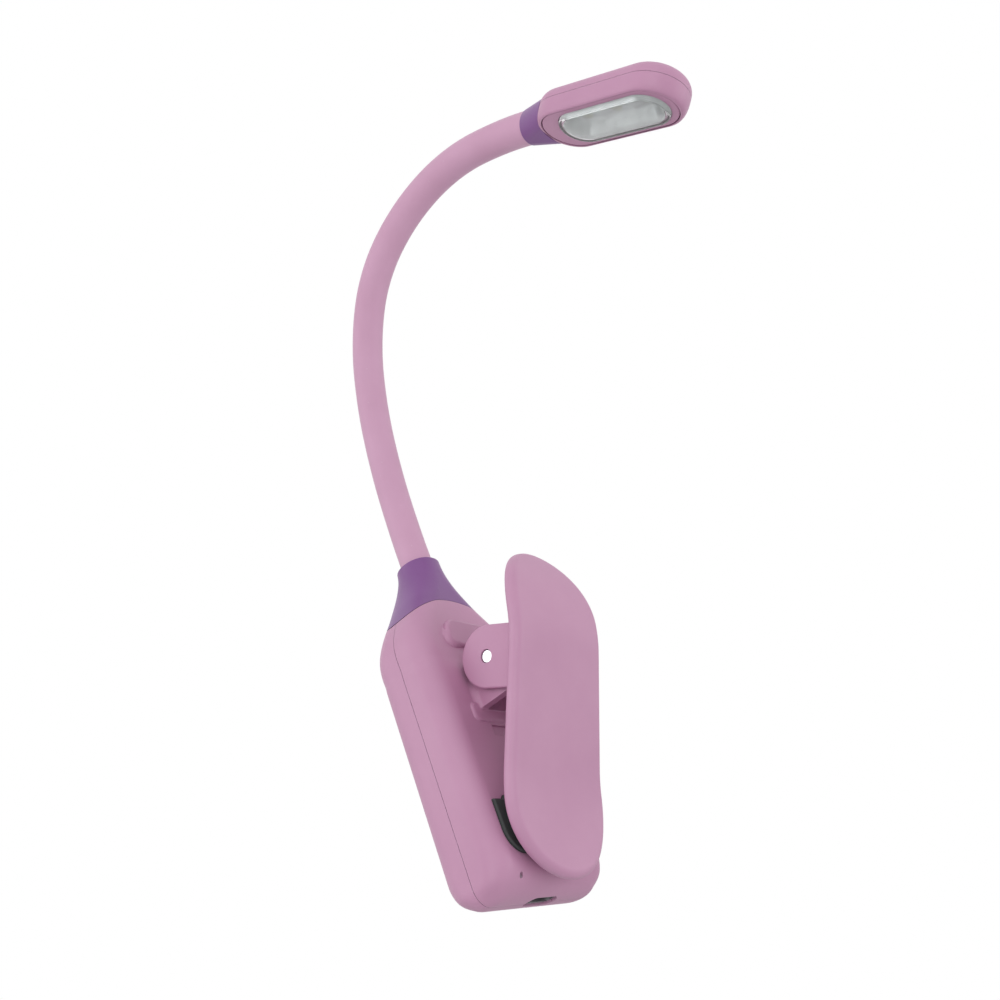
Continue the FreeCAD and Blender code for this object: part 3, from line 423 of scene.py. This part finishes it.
def along_arc(start, directions, bend, run):
    """Points and directions after a run along circular arcs. An arc turns by the length of
    bend over one link, about bend's axis, so its centre lies square to axis and tangent,
    at link length / angle from the start."""
    angle = np.linalg.norm(bend, axis=-1)
    axis = (directions @ (bend / angle[..., None])[..., None])[..., 0]
    centre = start + np.cross(axis, directions[..., 2]) * (link_length / angle)[..., None]
    step = turn(axis, angle * run / link_length)
    return centre + (step @ (start - centre)[..., None])[..., 0], step @ directions


link_starts, link_directions = [neck_base], [np.eye(3)]
for bend in bends:
    place, directions = along_arc(link_starts[-1], link_directions[-1], bend, link_length)
    link_starts.append(place)
    link_directions.append(directions)
link_starts, link_directions = np.array(link_starts), np.array(link_directions)


def neck_line(distances):
    """Points of the neck's centre line and its side and front directions, at distances
    along it. Each link is an arc that starts where the one before ends; past either end
    the line runs on straight."""
    distances = np.asarray(distances)
    on_arcs = np.clip(distances, 0, links * link_length)
    link = np.minimum((on_arcs / link_length).astype(int), links - 1)
    points, directions = along_arc(link_starts[link], link_directions[link], bends[link],
                                   on_arcs - link * link_length)
    points = points + directions[..., 2] * (distances - on_arcs)[:, None]
    return points, directions[..., 0], directions[..., 1]


def tube_mesh(name, rows, normals, distances):
    """Mesh of a closed tube wall from rows of points (row, point, xyz): each row closes on
    itself, and the last row joins the first. Vertex normals are given, and the UV map runs
    round the tube in u and along it, in metres, in v."""
    count, around = rows.shape[:2]
    index = np.arange(count * around).reshape(count, around)
    nearby = np.roll(index, -1, axis=1)
    quads = np.stack([index, nearby, np.roll(nearby, -1, axis=0), np.roll(index, -1, axis=0)], -1)
    piece = add_piece(name, rows, quads)
    steps = np.arange(around)
    u = np.stack([steps, steps + 1, steps + 1, steps], -1) / around
    v = np.stack([distances, distances, np.roll(distances, -1), np.roll(distances, -1)], -1)
    uv = np.stack([np.broadcast_to(u, (count, around, 4)),
                   np.broadcast_to(v[:, None, :], (count, around, 4))], -1)
    layer = piece.data.uv_layers.new(name="along")
    layer.data.foreach_set("uv", uv.reshape(-1).astype(np.float32))
    piece.data.normals_split_custom_set_from_vertices(normals.reshape(-1, 3).tolist())
    return piece


def sleeve_piece(name, start, end):
    """Tube round the neck's centre line: out along the outside and back along the bore,
    each row a circle in the plane of the side and front directions."""
    distances = np.linspace(start, end, max(2, round((end - start) / row_step)))
    around = np.linspace(0, 2 * np.pi, points_round, endpoint=False)
    line, side, front = neck_line(distances)
    ring = (np.cos(around)[None, :, None] * side[:, None, :]
            + np.sin(around)[None, :, None] * front[:, None, :])
    outer = line[:, None, :] + sleeve_radius * ring
    inner = line[:, None, :] + sleeve_bore * ring
    rows = np.concatenate([outer, inner[::-1]])
    normals = np.concatenate([ring, -ring[::-1]])
    return tube_mesh(name, rows, normals, np.concatenate([distances, distances[::-1]]))


def extruded_silicone(name, tone, deep, lint):
    """Extruded rubber: two close tones, die lines along the tube 0.8 mm apart, a fine dry
    grain, and a speck of lint wherever the middle of a 2.6 mm cell happens to lie in the
    skin. Lines and grain are drawn coarser than the real ones, to show."""
    material, tree, skin, place = new_material(name)
    cloud = node(tree, "ShaderNodeTexNoise", {"Vector": place, "Scale": per_mm(12), "Detail": 3.0})
    share = node(tree, "ShaderNodeMapRange", {"Value": cloud.outputs["Fac"], "From Min": 0.3,
                                              "From Max": 0.7})
    dyed = node(tree, "ShaderNodeMix", {0: share.outputs["Result"], 6: tone, 7: deep},
                data_type="RGBA")
    specks = node(tree, "ShaderNodeTexVoronoi", {"Vector": place, "Scale": per_mm(2.6)})
    speck = node(tree, "ShaderNodeMapRange", {"Value": specks.outputs["Distance"],
                                              "From Min": 0.03, "From Max": 0.055,
                                              "To Min": 0.5, "To Max": 0.0})
    linted = node(tree, "ShaderNodeMix", {0: speck.outputs["Result"], 6: dyed.outputs[2], 7: lint},
                  data_type="RGBA")
    tree.links.new(linted.outputs[2], skin.inputs["Base Color"])
    along = node(tree, "ShaderNodeUVMap", uv_map="along")
    die_place = node(tree, "ShaderNodeMapping", {"Vector": along.outputs["UV"],
                                                 "Scale": (1, 0.6, 1)})
    lines = node(tree, "ShaderNodeTexNoise", {"Vector": die_place.outputs["Vector"],
                                              "Scale": 2 * math.pi * sleeve_radius * per_mm(0.8),
                                              "Detail": 2.0})
    grain = node(tree, "ShaderNodeTexNoise", {"Vector": place, "Scale": per_mm(0.45),
                                              "Detail": 3.0, "Roughness": 0.6})
    rough = node(tree, "ShaderNodeMapRange", {"Value": grain.outputs["Fac"], "To Min": 0.5,
                                              "To Max": 0.66})
    tree.links.new(rough.outputs["Result"], skin.inputs["Roughness"])
    ribbed = node(tree, "ShaderNodeBump", {"Height": lines.outputs["Fac"], "Strength": 0.25,
                                           "Distance": 0.00003})
    fine = node(tree, "ShaderNodeBump", {"Height": grain.outputs["Fac"], "Strength": 0.5,
                                         "Distance": 0.00001,
                                         "Normal": ribbed.outputs["Normal"]})
    tree.links.new(fine.outputs["Normal"], skin.inputs["Normal"])
    skin.inputs["IOR"].default_value = 1.42
    skin.inputs["Sheen Weight"].default_value = 0.30
    skin.inputs["Sheen Roughness"].default_value = 0.35
    return material


# Silicone is soft and dry: wide dull highlights, and a pale bloom where it turns away.
sleeve_silicone = extruded_silicone("extruded_silicone", "DAABC8", "D4A4C1", "ECD8E4")
half_link = link_length / 2
for joint in range(links + 1):
    seam = joint * link_length
    start = seam - half_link if joint else -neck_insert
    end = seam + half_link if joint < links else seam
    sleeve = sleeve_piece("neck_skin_%d" % joint, start, end)
    sleeve.data.materials.append(sleeve_silicone)
    if joint in (0, links):
        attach(sleeve, "case" if joint == 0 else "head")
    else:
        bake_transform(sleeve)
    if joint < links:
        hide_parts("neck_sleeve_%d" % (joint + 1))


# ---------------------------------------------------------------------------
# Window of the lamp head: clear polycarbonate from a polished mould, a shallow cup with a
# slightly crowned face and a lip that the bezel holds. The charge light's pipe is the same
# plastic with a milky filler.
window_length = 0.0294
window_width = 0.0114
window_middle = 0.02665
window_face = -0.00467
window_lip = 0.0009
lip_front, lip_back = -0.00242, -0.00182
window_wall = 0.0004
slope_width = 0.0008          # inside, the cup slopes from its side to its face
window_round = 0.0006
window_crown = 0.00025
head_roll = math.radians(-2.0)
end_count = 40                # points of a ring round each end, and along each side
side_count = 32
face_rows, corner_rows, inside_rows = 14, 7, 10
merge_distance = 2e-6
window_sharp = math.radians(35)
half_width = window_width / 2

# The head's own directions: along it, across it (x, less its part along the head) and up
# out of its top face, then rolled a little about its length.
neck_end, end_side, end_front = (values[0] for values in neck_line([links * link_length]))
head_along = np.cross(end_side, end_front)
head_across = np.array([1.0, 0.0, 0.0]) - head_along * head_along[0]
head_across /= np.linalg.norm(head_across)
head_up = np.cross(head_along, head_across)
if head_up[2] < 0:
    head_across, head_up = -head_across, -head_up
head_across, head_up = (turn(head_along, head_roll) @ axis for axis in (head_across, head_up))

half_turn = np.linspace(-np.pi / 2, np.pi / 2, end_count, endpoint=False)
straight = np.linspace(1, -1, side_count, endpoint=False)
ring_angle = np.concatenate([half_turn, np.full(side_count, np.pi / 2),
                             half_turn + np.pi, np.full(side_count, -np.pi / 2)])
ring_middle = np.concatenate([np.ones(end_count), straight, -np.ones(end_count), -straight])


def obround_rows(insets, heights):
    """Rings in the head's own directions, the window's outline moved inwards by each inset:
    a circle of radius width / 2 - inset about a middle that runs to and fro between the two
    ends. heights are numbers, or a function of the place along and across and the inset."""
    inset = np.asarray(insets)[:, None]
    radius = half_width - inset
    along = (window_length - window_width) / 2 * ring_middle + radius * np.cos(ring_angle)
    across = radius * np.sin(ring_angle)
    height = heights(along, across, inset) if callable(heights) else np.asarray(heights)
    height = height if np.ndim(height) == 2 else np.broadcast_to(height, len(insets))[:, None]
    return (neck_end + (window_middle + along)[..., None] * head_along
            + across[..., None] * head_across + (height + 0 * along)[..., None] * head_up)


def ring_mesh(name, rows):
    """Mesh of rings joined row to row. The first and last rings lie on the middle line, and
    merging their doubled points closes both ends; a normals pass turns faces outwards."""
    count, around = rows.shape[:2]
    index = np.arange(count * around).reshape(count, around)
    nearby = np.roll(index, -1, axis=1)
    quads = np.stack([index[:-1], nearby[:-1], nearby[1:], index[1:]], -1)
    piece = add_piece(name, rows, quads)
    work = bmesh.new()
    work.from_mesh(piece.data)
    bmesh.ops.remove_doubles(work, verts=work.verts, dist=merge_distance)
    bmesh.ops.holes_fill(work, edges=[edge for edge in work.edges if edge.is_boundary])
    bmesh.ops.recalc_face_normals(work, faces=work.faces)
    work.to_mesh(piece.data)
    work.free()
    piece.data.shade_smooth()
    piece.data.set_sharp_from_angle(angle=window_sharp)
    return piece


def crowned(edge_height, crown):
    """Height of a face that swells towards its middle line: edge height less
    crown * (1 - s**2), with s the way from the middle to the edge."""
    def height(along, across, inset):
        way = 1 - np.clip(inset / half_width, 0, 1)
        return edge_height - crown * (1 - way ** 2) + 0 * along
    return height


quarter = np.linspace(0, np.pi / 2, corner_rows)
face_edge = window_face + window_crown
cup_inside = face_edge + window_wall
window_rows = np.concatenate([
    obround_rows(np.linspace(half_width, window_round, face_rows),
                 crowned(face_edge, window_crown)),
    obround_rows(window_round * (1 - np.sin(quarter)),
                 face_edge + window_round * (1 - np.cos(quarter))),
    obround_rows([0, -window_lip, -window_lip, window_wall],
                 [lip_front, lip_front, lip_back, lip_back]),
    obround_rows([window_wall], [cup_inside + slope_width]),
    obround_rows(np.linspace(window_wall + slope_width, half_width, inside_rows),
                 crowned(cup_inside, window_crown))])
window = ring_mesh("head_window", window_rows)
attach(window, "head")
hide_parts("head_lens")


def clear_plastic(name, tint, roughness, wave_depth_mm, clarity):
    """Clear plastic with a faint slow waviness, from noise 9 mm across, in its height and
    its roughness; clarity is the share of light that passes."""
    material, tree, skin, place = new_material(name)
    wave = node(tree, "ShaderNodeTexNoise", {"Vector": place, "Scale": per_mm(9), "Detail": 1.0})
    rough = node(tree, "ShaderNodeMapRange", {"Value": wave.outputs["Fac"],
                                              "To Min": roughness * 0.6,
                                              "To Max": roughness * 1.4})
    tree.links.new(rough.outputs["Result"], skin.inputs["Roughness"])
    bump = node(tree, "ShaderNodeBump", {"Height": wave.outputs["Fac"], "Strength": 0.3,
                                         "Distance": wave_depth_mm / 1000})
    tree.links.new(bump.outputs["Normal"], skin.inputs["Normal"])
    skin.inputs["Base Color"].default_value = linear(tint)
    skin.inputs["IOR"].default_value = 1.50
    skin.inputs["Transmission Weight"].default_value = clarity
    return material


# Polished polycarbonate mirrors the room and softens what lies behind it; the filler in the
# pipe scatters the light, so it looks milky and takes the tone of the body round it.
window_polycarbonate = clear_plastic("window_polycarbonate", "F8FAFA",
                                     roughness=0.13, wave_depth_mm=0.10, clarity=1.0)
window.data.materials.append(window_polycarbonate)
light_pipe = clear_plastic("milky_light_pipe", "B9A6B4",
                           roughness=0.30, wave_depth_mm=0.02, clarity=0.4)
dress(light_pipe, "charge_light")

# ---------------------------------------------------------------------------
# Behind the window: a reflector moulded in plastic and metallised in a vacuum, with a
# bowl round each of the three lights and a rim that stands inside the window's cup. The
# lights are chips under a dome of phosphor resin.
rim_gap = 0.0001
rim_inset = window_wall + slope_width + rim_gap
rim_height = cup_inside + rim_gap
rim_run = 0.0030
seat_front, reflector_back = -0.00177, 0.00013
bowl_floor = -0.00050
bowl_radius = 0.0043
bowl_depth = 0.0006
bowl_end = 1.3                 # a bowl goes on rising to this many radii
bowl_rows = 40
light_places = np.array([-0.0086, 0.0, 0.0086])


def bowls(along, across, inset):
    """Height inside the rim: three paraboloids, floor - depth * (r / radius)**2 with r the
    distance to the nearest light, that reach the rim by a smooth step, 3 w**2 - 2 w**3
    of the way w in from the rim."""
    nearest = np.min(np.hypot(along[None] - light_places[:, None, None], across[None]), axis=0)
    bowl = bowl_floor - bowl_depth * np.clip(nearest / bowl_radius, 0, bowl_end) ** 2
    way = np.clip((inset - rim_inset) / rim_run, 0, 1)
    way = way * way * (3 - 2 * way)
    return rim_height + (bowl - rim_height) * way


reflector_rows = np.concatenate([
    obround_rows(np.linspace(half_width, rim_inset, bowl_rows), bowls),
    obround_rows([rim_inset - slope_width], [rim_height + slope_width]),
    obround_rows([rim_inset - slope_width, -window_lip, -window_lip],
                 [seat_front, seat_front, reflector_back]),
    obround_rows([half_width], [reflector_back])])
reflector = ring_mesh("bowl_reflector", reflector_rows)
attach(reflector, "head")
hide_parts("reflector_tray")
# Vacuum metal under varnish: brighter than the steel above and without its lines, and so
# soft that no shape in the room shows in it. The resin is pale yellow and a little glossy.
metallised = drawn_steel("metallised_reflector", "F1F3F3", "E4E7E7",
                         roughness=0.48, line_mm=1.5, axis_scale=(1, 1, 1))
reflector.data.materials.append(metallised)
led_resin = moulded_plastic("phosphor_resin", "E3E3D4", "D9D9C8", "EEEEE2",
                            roughness=0.35, grain_mm=0.3, grain_depth_mm=0.004)
dress(led_resin, "led_chips")

# ---------------------------------------------------------------------------
# Stage: a pale floor under the hanging lamp and soft lamps round it. Away from the
# lamp the floor runs out into the white of the backdrop.
floor_z = -0.285
half_floor = 4.0
fade_start, fade_end = 0.35, 0.9       # distances at which the floor begins and ends to fade
lamp_size = 0.36
lamp_middle = (-0.005, -0.02, 0.07)
corners = half_floor * np.array([(-1, -1, 0), (1, -1, 0), (1, 1, 0), (-1, 1, 0)])
floor = add_piece("floor", corners + (0, 0, floor_z), np.arange(4))
floor_material, floor_tree, floor_skin, floor_place = new_material("pale_paper_floor")
fibres = node(floor_tree, "ShaderNodeTexNoise", {"Vector": floor_place, "Scale": per_mm(1.5)})
paper = node(floor_tree, "ShaderNodeMix", {0: fibres.outputs["Fac"], 6: "DCDCDC", 7: "D8D8D8"},
             data_type="RGBA")
floor_tree.links.new(paper.outputs[2], floor_skin.inputs["Base Color"])
floor_skin.inputs["Roughness"].default_value = 0.85
away = node(floor_tree, "ShaderNodeVectorMath", {0: floor_place}, operation="LENGTH")
faded = node(floor_tree, "ShaderNodeMapRange", {"Value": away.outputs["Value"],
                                                "From Min": fade_start, "From Max": fade_end})
floor_path = node(floor_tree, "ShaderNodeLightPath")
shown = node(floor_tree, "ShaderNodeMath", {0: faded.outputs["Result"],
                                            1: floor_path.outputs["Is Camera Ray"]},
             operation="MULTIPLY")
bright = node(floor_tree, "ShaderNodeEmission", {"Color": "FFFFFF", "Strength": 1.0})
floor_mix = node(floor_tree, "ShaderNodeMixShader",
                 {0: shown.outputs[0], 1: floor_skin.outputs[0], 2: bright.outputs[0]})
floor_tree.links.new(floor_mix.outputs[0], floor_tree.nodes["Material Output"].inputs["Surface"])
floor.data.materials.append(floor_material)

# The world lights the object at 0.68, and shows as white to the eye, in mirrors and
# through glass.
world = bpy.data.worlds.new("studio")
bpy.context.scene.world = world
world.use_nodes = True
sky = world.node_tree
sky.nodes.clear()
path = node(sky, "ShaderNodeLightPath")
seen = node(sky, "ShaderNodeMath", {0: path.outputs["Is Camera Ray"],
                                    1: path.outputs["Is Transmission Ray"]}, operation="MAXIMUM")
mirrored = node(sky, "ShaderNodeMath", {0: seen.outputs[0], 1: path.outputs["Is Glossy Ray"]},
                operation="MAXIMUM")
strength = node(sky, "ShaderNodeMapRange", {"Value": mirrored.outputs[0], "To Min": 0.68,
                                            "To Max": 1.0})
white = node(sky, "ShaderNodeBackground", {"Color": "FFFFFF",
                                           "Strength": strength.outputs["Result"]})
node(sky, "ShaderNodeOutputWorld", {"Surface": white.outputs[0]})


def soft_lamp(name, place, power):
    """A square soft lamp at a place, in watts, turned to the middle of the object."""
    lamp_data = bpy.data.lights.new(name, "AREA")
    lamp_data.size = lamp_size
    lamp_data.energy = power
    lamp = bpy.data.objects.new(name, lamp_data)
    lamp.location = place
    lamp.rotation_mode = "QUATERNION"
    lamp.rotation_quaternion = (Vector(lamp_middle) - Vector(place)).to_track_quat("-Z", "Y")
    bpy.context.scene.collection.objects.link(lamp)


soft_lamp("high_left", (-0.4856, 0.3104, 0.2803), 0.50)
soft_lamp("front_left", (-0.4712, -0.4240, 0.1322), 0.19)
soft_lamp("low_right", (0.3060, -0.5383, -0.0682), 0.62)
soft_lamp("low_left", (-0.5423, -0.2886, -0.0835), 0.62)
